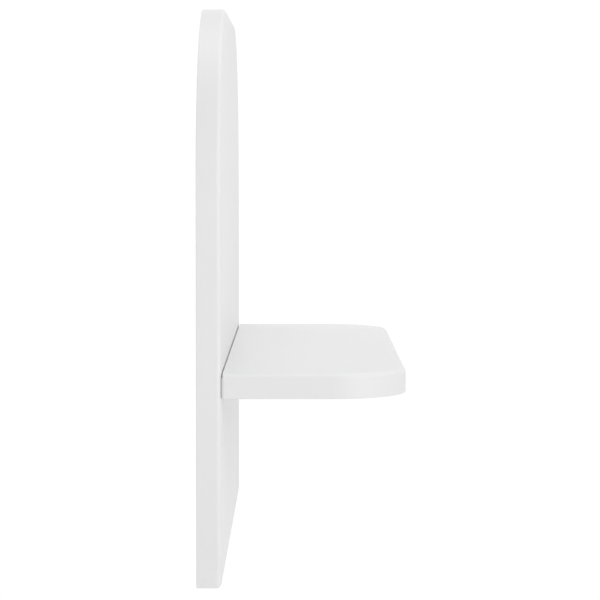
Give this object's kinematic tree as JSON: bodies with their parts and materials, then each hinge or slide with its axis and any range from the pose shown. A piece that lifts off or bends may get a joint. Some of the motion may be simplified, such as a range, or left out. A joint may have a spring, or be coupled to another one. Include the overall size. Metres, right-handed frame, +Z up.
{
  "type": "floating wall shelf",
  "caption": "Floating wall shelf: an upright back panel with large round top corners hangs flat on a wall and carries a narrow shelf board with round front corners.",
  "frame": {"origin": "centre of the back panel's rear face, which lies on the wall", "axes": "+Z up, +X to the right for someone who faces the shelf, +Y into the wall; the shelf board stands out towards -Y"},
  "size_m": [0.39, 0.1265, 0.35],
  "materials": {
    "white_lacquer": "satin white lacquer on MDF",
    "beech": "plain wood",
    "zinc_steel": "zinc plated"
  },
  "bodies": {
    "root": {"back_panel": "white_lacquer", "shelf_board": "white_lacquer", "assembly_screw_left": "zinc_steel", "assembly_screw_middle": "zinc_steel", "assembly_screw_right": "zinc_steel", "dowel_left": "beech", "dowel_right": "beech", "hanger_plate_left": "zinc_steel", "hanger_plate_right": "zinc_steel", "hanger_screw_left_upper": "zinc_steel", "hanger_screw_left_lower": "zinc_steel", "hanger_screw_right_upper": "zinc_steel", "hanger_screw_right_lower": "zinc_steel"}
  },
  "joints": []
}
